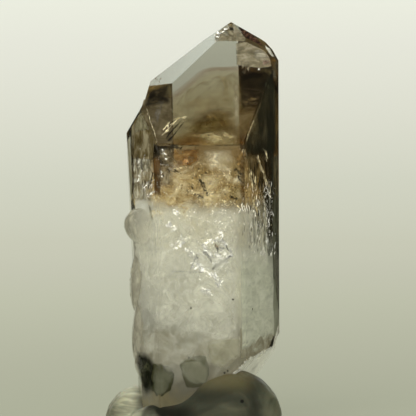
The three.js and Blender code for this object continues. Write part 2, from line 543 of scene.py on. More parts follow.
def add_object(mesh, material):
    """Link a new object, unturned and at the origin, that holds the mesh."""
    made = bpy.data.objects.new(mesh.name, mesh)
    bpy.context.scene.collection.objects.link(made)
    mesh.materials.append(material)
    return made


def add_piece(mesh, material):
    """Add an object in the part's one body."""
    piece = add_object(mesh, material)
    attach(piece, BODY)
    return piece


# --- shader nodes ------------------------------------------------------------------------------

class Nodes:
    """Short ways to add nodes to a tree. An input is a value or another node's output."""

    def __init__(self, tree):
        self.tree = tree

    def put(self, kind, inputs=(), **settings):
        """Add a node, change its settings, and fill its inputs."""
        made = self.tree.nodes.new("ShaderNode" + kind)
        for name, value in settings.items():
            setattr(made, name, value)
        for key, value in inputs.items() if isinstance(inputs, dict) else enumerate(inputs):
            if isinstance(value, bpy.types.NodeSocket):
                self.tree.links.new(value, made.inputs[key])
            else:
                made.inputs[key].default_value = value
        return made

    def maths(self, operation, *inputs):
        return self.put("Math", inputs, operation=operation).outputs[0]

    def plus(self, *inputs):
        return self.maths("ADD", *inputs)

    def times(self, *inputs):
        return self.maths("MULTIPLY", *inputs)

    def vector(self, operation, *inputs):
        """The outputs of a vector node."""
        return self.put("VectorMath", inputs, operation=operation).outputs

    def span(self, value, low, high, start=0.0, end=1.0):
        """Value from low to high, mapped smoothly to start to end."""
        return self.put("MapRange", {"Value": value, "From Min": low, "From Max": high,
                                     "To Min": start, "To Max": end},
                        interpolation_type="SMOOTHSTEP").outputs[0]

    def blend(self, share, first, second, kind="MIX"):
        """A mix of two colours by a share; a plain colour is (red, green, blue)."""
        first, second = (each if isinstance(each, bpy.types.NodeSocket) else (*each, 1)
                         for each in (first, second))
        return self.put("Mix", {"Factor": share, "A": first, "B": second}, data_type="RGBA",
                        blend_type=kind).outputs["Result"]

    def ramp(self, value, stops, kind="LINEAR"):
        """A colour ramp: stops are (position, colour)."""
        made = self.put("ValToRGB", [value])
        made.color_ramp.interpolation = kind
        band = made.color_ramp.elements
        while len(band) < len(stops):
            band.new(1.0)
        for element, (position, colour) in zip(band, stops):
            element.position = position
            element.color = (*colour, 1)
        return made.outputs["Color"]


def patches_group():
    """The patchy unevenness that all the materials share, with its own size and swirl."""
    made = bpy.data.node_groups.get("patches")
    if made is None:
        made = bpy.data.node_groups.new("patches", "ShaderNodeTree")
        for name, kind, value in (("Place", "Vector", (0, 0, 0)), ("Size", "Vector", (1, 1, 1)),
                                  ("Detail", "Float", 3.0), ("Roughness", "Float", 0.55),
                                  ("Swirl", "Float", 0.0)):
            socket = made.interface.new_socket(name, in_out="INPUT",
                                               socket_type="NodeSocket" + kind)
            socket.default_value = value
        made.interface.new_socket("Value", in_out="OUTPUT", socket_type="NodeSocketFloat")
        given, nodes = made.nodes.new("NodeGroupInput").outputs, Nodes(made)
        scaled = nodes.vector("DIVIDE", given["Place"], given["Size"])[0]
        spots = nodes.put("TexNoise", {
            "Vector": scaled, "Scale": 1.0, "Detail": given["Detail"],
            "Roughness": given["Roughness"], "Distortion": given["Swirl"]})
        result = made.nodes.new("NodeGroupOutput")
        made.links.new(spots.outputs["Fac"], result.inputs["Value"])
    return made


class Material(Nodes):
    """A new material around its Principled shader.

    plain sets sockets that are the same all over; their names have underscores for spaces."""

    def __init__(self, name, **plain):
        self.made = bpy.data.materials.new(name)
        self.made.use_nodes = True
        super().__init__(self.made.node_tree)
        self.shader = self.tree.nodes["Principled BSDF"]
        for socket, value in plain.items():
            self.shader.inputs[socket.replace("_", " ")].default_value = value

    @cached_property
    def place(self):
        """Object coordinates, from the point's middle, in metres."""
        return self.put("Mapping", {"Vector": self.put("TexCoord").outputs["Object"],
                                    "Location": tuple(-MIDDLE)}).outputs[0]

    @cached_property
    def parts(self):
        """The place's X, Y and Z."""
        return self.put("SeparateXYZ", [self.place]).outputs

    def noise(self, size, detail=3.0, rough=0.55, stretch=(1, 1, 1), swirl=0.0):
        """Patches of about 0 to 1, size millimetres wide and longer along each stretch."""
        return self.put("Group", {
            "Place": self.place, "Size": tuple(size * MM * each for each in stretch),
            "Detail": detail, "Roughness": rough, "Swirl": swirl},
            node_tree=patches_group()).outputs["Value"]

    def attribute(self, name):
        return self.put("Attribute", attribute_name=name).outputs["Fac"]

    def link(self, value, *sockets):
        for socket in sockets:
            self.tree.links.new(value, self.shader.inputs[socket])

    def tint(self, colour):
        # The colour is also the glow's colour, so with an emission strength it is painted light.
        self.link(colour, "Base Color", "Emission Color")

    def bump(self, strength, distance, height):
        self.link(self.put("Bump", {"Strength": strength, "Distance": distance * MM,
                                    "Height": height}).outputs[0], "Normal")

    def absorb(self, colour, density):
        """Fill the inside with plain absorption."""
        inside = self.put("VolumeAbsorption", {"Color": (*colour, 1), "Density": density})
        self.tree.links.new(inside.outputs[0],
                            self.tree.nodes["Material Output"].inputs["Volume"])


def quartz_material(look):
    """Clear, faintly smoky quartz with fine level growth lines and shallow etching, and rough
    on the broken planes at its foot."""
    m = Material("clear_quartz", Base_Color=(1, 1, 1, 1), Roughness=0.0, IOR=1.544,
                 Transmission_Weight=1.0)
    m.absorb(look.clear, look.clear_density)
    lines = m.noise(0.6, 2.0, 0.6, (14, 14, 0.5))
    height = m.plus(m.times(lines, 0.5), m.noise(2.8, 2.0, 0.5))
    broken = 0.0
    for face in BREAKS:
        normal, distance = FOUND[face]
        out = m.vector("DOT_PRODUCT", m.place, tuple(normal))["Value"]
        near = m.span(out, distance - 0.30 * MM, distance - 0.05 * MM)
        broken = m.maths("MAXIMUM", broken, near)
    grit = m.times(m.noise(0.7, 5.0, 0.7), 12.0)
    m.link(m.times(broken, 0.45), "Roughness")
    m.bump(0.10, 0.05, m.plus(height, m.times(broken, grit)))
    return m.made


def smoke_material(name, colour, density):
    """A zone of smoky colour inside the quartz: the same quartz, so its edge bends nothing."""
    m = Material(name, Base_Color=(1, 1, 1, 1), Roughness=0.0, IOR=1.0, Transmission_Weight=1.0,
                 Specular_IOR_Level=0.0)
    m.absorb(colour, density)
    return m.made


def cloud_material(name, tones, size, cover=(0.0, 1.0), cut=(0.4, 0.7), glow=0.3,
                   stretch=(1, 1, 1), swirl=0.6, fade=(-60, -50, 60, 70), soft=0.5, grain=0.5):
    """A veil of cloud in the quartz: patches of three tones, with cover[0] to cover[1] of them
    opaque between cut[0] and cut[1] of the unevenness.

    fade gives the heights in millimetres where it comes in and goes out again, which the
    patches make ragged by FRAY. It thins out towards its outline from soft of the way there,
    and grain is its tones' size over size. Its tones also glow by glow: painted light."""
    m = Material(name, Roughness=0.9, Specular_IOR_Level=0.0, Emission_Strength=glow)
    patches = m.noise(size, 6.0, 0.6, stretch, swirl)
    mask = m.span(patches, *cut, *cover)
    ragged = m.maths("MULTIPLY_ADD", patches, 2 * FRAY * MM, -FRAY * MM)
    level = m.plus(m.parts["Z"], ragged)
    low, full, thin, high = (height * MM for height in fade)
    for share in (m.span(level, low, full), m.span(level, thin, high, 1.0, 0.0),
                  m.span(m.attribute("edge"), soft, 1.0, 1.0, 0.0)):
        mask = m.times(mask, share)
    m.tint(m.ramp(m.noise(size * grain, 5.0, 0.65, stretch, swirl),
                  tuple(zip((0.36, 0.50, 0.64), tones))))
    m.link(mask, "Alpha")
    return m.made


def milk_material(look):
    """The milky lower half: warm at its frayed top, white, and tan down in the putty. Painted
    shade darkens it towards its foot, and it glows a little as painted light. Its top slopes
    down towards the right."""
    m = Material("milky_quartz", Roughness=0.9, Specular_IOR_Level=0.0, Emission_Strength=0.42)
    height = m.parts["Z"]
    cloud = m.noise(7.0, 4.0, 0.55, swirl=0.8)
    fine = m.noise(1.6, 5.0, 0.6, (1, 1, 1.4))
    shifted = m.maths("MULTIPLY_ADD", cloud, 10 * MM, -5 * MM)
    level = m.put("MapRange", {"Value": m.plus(height, shifted), "From Min": -34 * MM,
                               "From Max": 6 * MM}).outputs[0]
    white, low = np.array(look.milk), np.array(look.milk_low_shade)
    beige = white * (1.0, 0.95, 0.82)
    # The tones fall towards the foot: painted shade.
    tint = m.ramp(level, (
        (0.00, low * 0.6), (0.10, low * 1.0), (0.16, beige * 0.21), (0.24, beige * 0.34),
        (0.31, beige * 0.36), (0.40, white * 0.51), (0.52, white * 0.70), (0.72, white * 0.77),
        (1.00, white * (1.0, 1.04, 1.14))))
    mottle = m.span(fine, 0.35, 0.70, 0.0, 0.5)
    m.tint(m.blend(mottle, tint, (0.78, 0.77, 0.74), "MULTIPLY"))
    slope = m.times(m.maths("MAXIMUM", m.maths("SUBTRACT", m.parts["X"], 4.5 * MM), 0.0), 1.1)
    top = m.plus(m.plus(height, slope), shifted)
    m.link(m.span(top, -1.2 * MM, 2.6 * MM, 1.0, 0.0), "Alpha")
    m.bump(0.3, 0.3, fine)
    return m.made


def chip_material(name, light, dark, glow, rough=0.3):
    """The skin of a crack: bright and dull in small patches. It glows by glow, so its bright
    patches are painted glints.
    """
    m = Material(name, Emission_Strength=glow)
    spots = m.noise(0.7)
    m.tint(m.ramp(spots, ((0.42, dark), (0.56, light))))
    m.link(m.span(spots, 0.3, 0.7, rough, rough + 0.2), "Roughness")
    m.bump(0.5, 0.1, spots)
    return m.made


def seed_material(name, tones, outline, most):
    """An enclosed crystal: cloudy tones inside, and an outline where its side is seen. It glows
    faintly, as painted light.
    """
    m = Material(name, Roughness=0.6, Specular_IOR_Level=0.1, Emission_Strength=0.25)
    cloud = m.noise(2.0, 4.0, swirl=0.8)
    side = m.span(m.attribute("rim"), 0.86, 0.97)
    m.tint(m.blend(side, m.ramp(cloud, tuple(zip((0.35, 0.62), tones))), outline))
    body = m.span(cloud, 0.35, 0.65, most, most - 0.15)
    m.link(m.maths("MAXIMUM", body, m.times(side, 0.8)), "Alpha")
    return m.made


def putty_material(look):
    """Dark, slightly glossy grey-green putty with soft kneaded streaks. Painted light makes it
    paler on the left, a painted highlight brightens its right rim, and painted shade darkens
    the crease below the point.
    """
    m = Material("grey_putty", Subsurface_Weight=0.15, Subsurface_Scale=1.5 * MM)
    dark, pale = np.array(look.dark), np.array(look.pale)

    def between(value, low, high):
        """How far a place is from low to high, in millimetres."""
        return m.span(value, low * MM, high * MM)

    x, z = m.parts["X"], m.parts["Z"]
    streak = m.noise(7.0, 3.0, 0.5, (1.4, 1, 1), 1.2)
    fine = m.noise(0.8, 4.0, 0.6)
    ribs = m.noise(1.1, 2.0, 0.5, (7, 3, 0.6), 0.8)
    tint = m.ramp(streak, ((0.36, dark), (0.50, look.main), (0.68, pale)))
    tint = m.blend(m.times(between(z, -28.8, -26.2), between(x, 8.5, 5.0)), tint, look.warm)
    # Painted highlight: the pale streaks are made brighter along the right rim.
    rim = m.times(between(x, 7.5, 11.5), m.span(streak, 0.25, 0.55))
    tint = m.blend(rim, tint, pale * 2.3)
    # Painted shade: darker in the crease below the point, between the lobes.
    hollow = m.times(between(z, -30.0, -31.2), between(x, -0.5, -4.0))
    tint = m.blend(hollow, tint, dark * 0.45)
    # Painted light: the left lobe is made pale, brightest on its ribs, and painted shade darkens
    # it towards its outer left side.
    left = between(m.plus(x, m.times(streak, 9 * MM)), -4.2, -8.4)
    painted_lobe_light = m.blend(m.span(ribs, 0.3, 0.7), pale * 2.3, pale * 4.1)
    outer = m.blend(between(x, -16.0, -12.0), (0.55, 0.55, 0.57), (1.3, 1.3, 1.4))
    tint = m.blend(left, tint, m.blend(1.0, painted_lobe_light, outer, "MULTIPLY"))
    speck = m.vector("DISTANCE", m.place, (5.3 * MM, -13.6 * MM, -29.3 * MM))["Value"]
    tint = m.blend(between(speck, 0.22, 0.38), (0.004, 0.004, 0.003), tint)
    m.link(tint, "Base Color")
    m.link(m.span(fine, 0.3, 0.7, look.roughness - 0.08, look.roughness + 0.12), "Roughness")
    small = m.plus(m.times(fine, 0.25), m.times(ribs, left))
    m.bump(0.25, 0.25, m.plus(m.times(streak, 1.5), small))
    return m.made


def sweep_material(look):
    """Pale paper, with painted light that makes it lighter towards the top. What isn't seen by the
    camera directly is darker at both sides, as dark cards beside a table set would make it, and
    there is a painted pool of light on the floor behind, where the light that comes through the
    point gathers."""
    m = Material("pale_sweep", Emission_Strength=look.glow, Roughness=0.9,
                 Specular_IOR_Level=0.0)
    split = m.put("SeparateXYZ", [m.put("TexCoord").outputs["Object"]]).outputs
    flat = m.put("CombineXYZ", [split["X"], split["Y"]]).outputs[0]
    out = m.vector("LENGTH", flat)["Value"]
    along = m.maths("DIVIDE", m.plus(out, split["Z"]), PAPER)
    tone = m.ramp(along, [(position, display(*levels)) for position, *levels in (
        (0.06, 166, 169, 148), (0.15, 172, 174, 154), (0.33, 185, 187, 167),
        (0.458, 193, 194, 176), (0.571, 200, 201, 183), (0.654, 210, 212, 196),
        (0.716, 222, 223, 209), (0.785, 234, 235, 223), (0.815, 240, 242, 229))])
    turn = m.maths("ARCTAN2", split["X"], split["Y"])
    side = m.maths("DIVIDE", m.maths("ABSOLUTE", turn), math.pi)
    cards = m.ramp(side, (
        (0.150, (1, 1, 1)), (0.195, (0.03, 0.03, 0.025)), (0.44, (0.03, 0.03, 0.025)),
        (0.50, (0.5, 0.5, 0.47)), (0.70, (0.30, 0.30, 0.28)), (1.0, (0.25, 0.25, 0.23))), "EASE")
    dark = m.blend(m.span(out, 0.068, 0.088), tone, cards, "MULTIPLY")
    # A painted pool of light on the floor behind the point.
    painted_light_pool = m.times(m.times(m.span(out, 0.036, 0.046), m.span(out, 0.072, 0.065)),
                       m.times(m.span(turn, 0.0, 0.25), m.span(turn, 1.35, 1.0)))
    dark = m.blend(painted_light_pool, dark, (1.95, 2.0, 2.3), "MULTIPLY")
    shown = m.blend(m.put("LightPath").outputs["Is Camera Ray"], dark, tone)
    m.link(shown, "Emission Color")
    m.link(m.blend(1.0, shown, (0.30, 0.30, 0.30), "MULTIPLY"), "Base Color")
    return m.made


# --- tables of clouds and cracks ---------------------------------------------------------------

BEIGE = (108, 100, 76), (142, 134, 106), (184, 174, 148)
UMBER = (22, 13, 8), (52, 34, 24), (116, 86, 66)
SOOT = (14, 11, 6), (26, 21, 12), (52, 44, 26)
SILVER = (74, 72, 54), (140, 138, 114), (214, 212, 194)

# Veils just under the faces: name, face, inset and outline, across and up the face. Then what
# cloud_material takes: three tones (display values, or names of settings), size, cover, cut,
# glow, stretch (upwards only, or all three ways) and soft.
VEILS = (
    ("apex_mottle", "cap", 0.3, ((1.2, 19.9), (4.9, 19.9), (5.2, 22.5), (4.3, 24.6), (3.1, 23.9),
     (1.3, 21.6)),
     ((86, 76, 50), (116, 106, 78), (162, 153, 124)), 1.3, (0.6, 0.95), (0.35, 0.6), 0.42, 1,
     0.88),
    ("apex_mark", "cap", 0.2, ((3.7, 23.5), (4.5, 23.5), (4.7, 22.4), (3.8, 22.4)),
     SOOT, 0.8, (0.5, 0.95), (0.3, 0.5), 0.5, 1, 0.4),
    ("apex_band", "cap", 0.35, ((3.9, 24.2), (4.7, 24.3), (6.4, 20.6), (6.1, 19.9), (4.7, 19.9)),
     BEIGE, 1.6, (0.6, 0.9), (0.35, 0.6), 0.40, 2, 0.9),
    ("umber_wedge", "cap", 0.2, ((5.1, 23.7), (6.3, 20.7), (8.9, 18.8), (8.9, 19.3), (7.1, 22.2)),
     UMBER, 0.7, (0.9, 1.0), (0.3, 0.5), 0.40, 1, 0.94),
    ("beige_veil", "tip_front", 0.35, ((4.6, 23.0), (6.4, 23.2), (9.3, 21.4), (10.1, 19.8),
     (10.3, 18.1), (8.6, 17.7), (4.5, 18.3)),
     BEIGE, 2.2, (0.75, 0.98), (0.32, 0.6), 0.40, (1.5, 1.5, 0.9), 0.92),
    ("beige_glow", "tip_front", 0.2, ((7.0, 21.8), (9.0, 21.5), (10.1, 19.7), (9.6, 18.7),
     (7.7, 19.2)),
     ((138, 132, 106), (172, 166, 144), (208, 202, 182)), 1.3, (0.3, 0.95), (0.38, 0.6), 0.45,
     (2.0, 1.0, 0.7), 0.5),
    ("pink_corner", "tip_front", 0.2, ((8.7, 19.4), (10.1, 19.6), (10.1, 18.2), (8.6, 18.0)),
     ((120, 92, 78), (150, 124, 106), (176, 152, 134)), 1.2, (0.2, 0.7), (0.35, 0.6), 0.4, 1, 0.5),
    ("clear_sliver", "tip_right", 0.12, ((7.2, 16.3), (7.7, 15.2), (7.1, 13.5), (6.6, 13.7),
     (6.7, 15.6)),
     ((176, 178, 160), (206, 206, 190), (226, 226, 212)), 1.0, (0.6, 0.95), (0.35, 0.6), 0.5, 2,
     0.8),
    ("hatching", "tip_front", 0.25, ((5.0, 19.4), (7.0, 19.4), (7.0, 17.0), (5.6, 16.2)),
     BEIGE, 0.8, (0.0, 0.8), (0.45, 0.6), 0.40, (0.5, 0.5, 2.5), 0.6),
    # The next three veils are painted darkness: dark sheets under the front tip face and the right
    # face, where these faces show dark surroundings.
    ("painted_dark_veil", "tip_front", 0.6, ((4.7, 18.2), (10.3, 18.0), (9.2, 14.3), (7.9, 10.4),
     (6.2, 8.6), (4.7, 9.4)),
     ((7, 5, 1), (15, 11, 4), (36, 28, 14)), 2.6, (0.8, 0.98), (0.36, 0.62), 0.4,
     (1.6, 1.6, 0.8), 0.7),
    ("painted_dark_low", "tip_front", 0.5, ((4.7, 15.6), (9.0, 14.0), (7.4, 8.8), (4.7, 7.6)),
     ((28, 21, 10), (62, 51, 30), (122, 104, 66)), 1.3, (0.45, 0.97), (0.38, 0.62), 0.42,
     (2.0, 1.8, 0.7), 0.2),
    ("painted_dark_right", "right", 0.5, ((5.4, 22.4), (6.9, 20.0), (6.9, 8.0), (-4.6, 8.5),
     (-4.9, 10.2)),
     ((22, 22, 14), (36, 36, 24), (58, 58, 42)), 2.2, (0.5, 0.92), (0.36, 0.62), 0.38, 4, 0.8),
    ("amber_wisp", "tip_front", 1.2, ((2.2, 16.8), (3.9, 16.6), (3.7, 8.0), (2.0, 9.4)),
     ((104, 88, 46), (128, 112, 66), (150, 136, 92)), 2.2, (0.0, 0.6), (0.42, 0.66), 0.36,
     (0.8, 0.8, 1.6), 0.4),
    ("quad_low", "tip_front", 0.7, ((-10.4, 12.0), (-5.93, 12.2), (-5.93, 2.7), (-8.3, 2.6),
     (-10.8, 8.9), (-10.9, 9.8)),
     ((74, 64, 43), (94, 84, 60), (120, 109, 81)), 2.4, (0.88, 1.0), (0.35, 0.6), 0.44,
     (1.2, 1.2, 1.0), 0.95),
    ("quad_streak", "tip_front", 0.35, ((-8.2, 11.4), (-7.0, 11.6), (-8.4, 5.4), (-9.7, 5.6)),
     ((104, 99, 84), (132, 128, 113), (160, 156, 142)), 1.6, (0.1, 0.8), (0.38, 0.62), 0.42, 1.6,
     0.15),
    ("quad_top", "tip_front", 0.5, ((-9.8, 13.4), (-5.93, 14.9), (-5.93, 10.6), (-10.8, 9.6)),
     ((12, 9, 4), (28, 24, 13), (60, 52, 34)), 2.2, (0.85, 1.0), (0.36, 0.6), 0.42,
     (1.4, 1.4, 0.9), 0.55),
    ("brown_mist", "tip_front", 0.9, ((-4.2, 7.6), (-1.5, 9.8), (2.0, 10.6), (4.6, 10.0),
     (4.6, 5.0), (0.5, 4.8), (-4.0, 4.8)),
     ((62, 42, 12), (88, 66, 30), (122, 100, 58)), 1.5, (0.35, 0.92), (0.34, 0.6), 0.42,
     (1.6, 1.6, 0.8), 0.35),
    ("olive_mist", "tip_front", 0.7, ((-5.6, 4.8), (-4.8, 7.8), (-2.0, 9.8), (1.0, 10.0),
     (4.6, 9.2), (4.6, 4.4), (-1.0, 3.8), (-5.0, 4.0)),
     ((66, 50, 14), (92, 76, 34), (118, 104, 60)), 1.8, (0.3, 0.72), (0.34, 0.6), 0.42,
     (1.5, 1.5, 0.8), 0.3),
    ("pale_strip", "tip_front", 0.3, ((4.15, 17.0), (4.9, 17.0), (4.3, 3.4), (3.6, 3.4)),
     BEIGE, 2.0, (0.25, 0.6), (0.35, 0.6), 0.42, 4, 0.5),
    ("gold_rim", "tip_front", 0.8, ((-8.0, 2.6), (4.3, 2.6), (4.5, 4.7), (2.2, 5.6), (-3.3, 4.6),
     (-7.2, 6.3)),
     ((114, 99, 60), (162, 148, 102), (206, 193, 150)), 1.8, (0.2, 0.9), (0.36, 0.62), 0.48,
     (1.5, 1.5, 0.8), 0.7),
    ("cream_cloud", "front", 1.4, ((-1.6, 9.7), (3.3, 9.7), (3.9, 7.6), (3.2, 5.6), (-0.9, 6.0)),
     ("gold", "cream", "cream"), 2.6, (0.25, 0.92), (0.36, 0.60), 0.50, (1.4, 1.4, 0.9), 0.2),
    # A painted orange highlight in the amber.
    ("orange_spot", "front", 0.5, ((-4.9, 7.7), (-4.5, 8.4), (-3.8, 8.4), (-3.4, 7.7),
     (-3.8, 7.0), (-4.5, 7.0)),
     ((140, 96, 46), (190, 142, 84), (222, 184, 126)), 0.8, (0.5, 0.95), (0.35, 0.6), 0.5, 1,
     0.35),
    ("cream_mist", "front", 1.0, ((-2.6, 6.0), (5.2, 6.4), (5.3, 1.0), (-3.0, 0.8)),
     ("gold", "gold", "cream"), 2.2, (0.0, 0.75), (0.42, 0.64), 0.50, (1.2, 1.2, 0.9), 0.5),
    ("amber_left", "front", 0.8, ((-6.3, 9.9), (-1.6, 9.9), (-1.9, 7.8), (-3.2, 6.8),
     (-5.3, 6.9), (-6.4, 8.3)),
     ((92, 60, 22), (126, 92, 44), (164, 132, 78)), 1.8, (0.5, 0.92), (0.35, 0.6), 0.40,
     (1.4, 1.4, 0.9), 0.7),
    ("corner_haze", "front", 0.4, ((-8.3, 10.0), (-6.1, 10.0), (-6.0, 4.0), (-8.4, 3.6)),
     ((78, 65, 42), (118, 106, 78), (168, 158, 128)), 1.2, (0.4, 0.92), (0.36, 0.62), 0.42, 1.3,
     0.8),
    ("foot_cream", "front", 0.7, ((-1.6, -20.0), (4.9, -19.4), (5.2, -22.6), (1.6, -25.2),
     (-1.0, -24.2)),
     ((140, 137, 112), (158, 155, 130), (172, 170, 146)), 2.4, (0.7, 0.95), (0.32, 0.6), 0.44, 1,
     0.6),
    ("amber_right", "front", 0.8, ((2.6, 10.0), (5.2, 10.0), (5.2, 6.4), (3.8, 6.8)),
     ((92, 64, 28), (124, 98, 54), (160, 134, 84)), 1.6, (0.35, 0.9), (0.35, 0.6), 0.40, 1, 0.6),
    ("left_mottle", "left", 0.7, ((-2.6, 12.2), (1.8, 9.2), (2.3, 2.2), (-2.8, 1.8)),
     SILVER, 2.0, (0.05, 0.85), (0.38, 0.62), 0.38, 3.0, 0.55),
    ("brown_band", "left", 0.45, ((2.35, 9.0), (3.9, 9.0), (3.9, 2.2), (2.7, 2.2)),
     ("ink", (84, 60, 32), (122, 92, 54)), 1.2, (0.65, 0.97), (0.3, 0.55), 0.4, 3.5, 0.72),
    ("dark_patch", "left", 0.02, ((-2.9, -22.0), (0.8, -22.3), (2.6, -23.4), (3.2, -26.0),
     (2.5, -28.6), (0.0, -29.6), (-2.5, -26.8)),
     ((10, 11, 5), (28, 30, 18), (70, 72, 50)), 1.8, (0.86, 1.0), (0.34, 0.56), 0.38, 1.3, 0.6),
    # Painted shade: a darker crescent in the crease on the right side of the largest growth.
    ("growth_crescent", "left", 0.1, ((0.8, 1.5), (1.9, 0.9), (2.8, -1.5), (2.3, -1.8),
     (1.5, -0.3)),
     ((92, 90, 66), (122, 119, 94), (146, 142, 116)), 1.0, (0.6, 0.9), (0.3, 0.6), 0.42, 1.6, 0.4),
    ("left_dark_line", "left", 0.15, ((-3.5, 12.7), (-3.1, 13.1), (-3.1, 1.6), (-3.5, 1.6)),
     ("ink", "ink", (92, 70, 44)), 1.6, (0.6, 0.9), (0.3, 0.6), 0.4, 3, 0.8),
    ("far_left_mist", "far_left", 0.4, ((-0.75, 1.5), (2.0, 1.5), (2.0, 12.6), (0.6, 12.0),
     (-0.75, 9.0)),
     ((124, 120, 94), (150, 146, 120), (190, 188, 166)), 1.8, (0.8, 0.98), (0.35, 0.6), 0.45, 3,
     0.85),
    ("left_brown", "left", 0.25, ((-3.9, 13.2), (-1.1, 15.6), (-0.6, 15.1), (3.0, 11.2),
     (2.6, 8.0), (-3.9, 8.0)),
     ((74, 62, 32), (108, 96, 64), (160, 151, 120)), 1.6, (0.8, 0.98), (0.35, 0.6), 0.48, 2.0,
     0.93),
    ("left_top", "left", 0.15, ((-3.0, 13.4), (-1.1, 15.6), (-0.6, 15.1), (2.0, 12.6),
     (-3.0, 12.0)),
     ((108, 104, 76), (132, 127, 98), (160, 155, 126)), 1.4, (0.55, 0.92), (0.3, 0.6), 0.48, 1.6,
     0.6),
    ("left_silver", "left", 0.5, ((-3.9, 8.8), (2.2, 8.8), (2.2, 1.4), (-3.9, 1.4)),
     ((94, 85, 60), (142, 136, 110), (222, 220, 200)), 1.0, (0.3, 0.92), (0.4, 0.62), 0.5, 2.2,
     0.85),
    ("right_shadow", "right", 0.3, ((4.7, 8.6), (7.44, 8.6), (7.44, -9.5), (4.9, -4.0)),
     ((36, 36, 25), (58, 58, 43), (90, 90, 72)), 2.4, (0.85, 0.99), (0.36, 0.62), 0.38, 5.0, 0.93),
    ("right_shade", "right", 0.3, ((5.0, -2.6), (7.42, -7.4), (7.38, -17.5), (5.0, -11.0)),
     ((58, 58, 43), (80, 80, 62), (106, 106, 86)), 2.4, (0.8, 0.97), (0.36, 0.62), 0.40, 5.0,
     0.93),
    ("right_dusk", "right", 0.3, ((5.2, -10.0), (7.36, -15.6), (7.3, -20.6), (5.2, -20.9)),
     ((102, 103, 83), (122, 124, 102), (140, 141, 120)), 2.4, (0.8, 0.97), (0.36, 0.62), 0.42,
     5.0, 0.93),
    ("right_foot", "right", 0.8, ((-5.6, -18.5), (6.4, -17.6), (6.8, -19.4), (3.9, -22.5),
     (-5.6, -23.5)),
     ((116, 110, 86), (138, 133, 109), (158, 154, 132)), 1.8, (0.8, 0.98), (0.35, 0.6), 0.44,
     1.4, 0.93),
    ("right_night", "right", 1.3, ((-4.4, 8.4), (5.4, 8.4), (5.6, 3.4), (2.0, 2.2), (-2.0, 3.2),
     (-4.4, 4.8)),
     ((24, 22, 12), (58, 50, 31), (138, 118, 76)), 1.1, (0.45, 0.97), (0.36, 0.60), 0.40, 4.5,
     0.55),
    ("right_fog", "right", 1.2, ((-4.8, 0.5), (4.9, 1.0), (5.4, -8.0), (-5.0, -6.5)),
     ((104, 106, 88), (134, 136, 116), (176, 176, 156)), 1.4, (0.0, 0.70), (0.44, 0.64), 0.42,
     4.0, 0.5),
    ("right_frost", "right", 0.7, ((-4.4, 4.5), (6.0, 5.5), (6.6, -8.5), (-4.7, -8.0)),
     SILVER, 1.1, (0.0, 0.7), (0.48, 0.68), 0.36, 5.0, 0.35),
    ("right_frost_deep", "right", 2.0, ((-4.0, 2.0), (5.6, 3.5), (6.2, -10.5), (-4.4, -9.5)),
     SILVER, 2.2, (0.0, 0.8), (0.42, 0.64), 0.36, 3.5, 0.35),
)

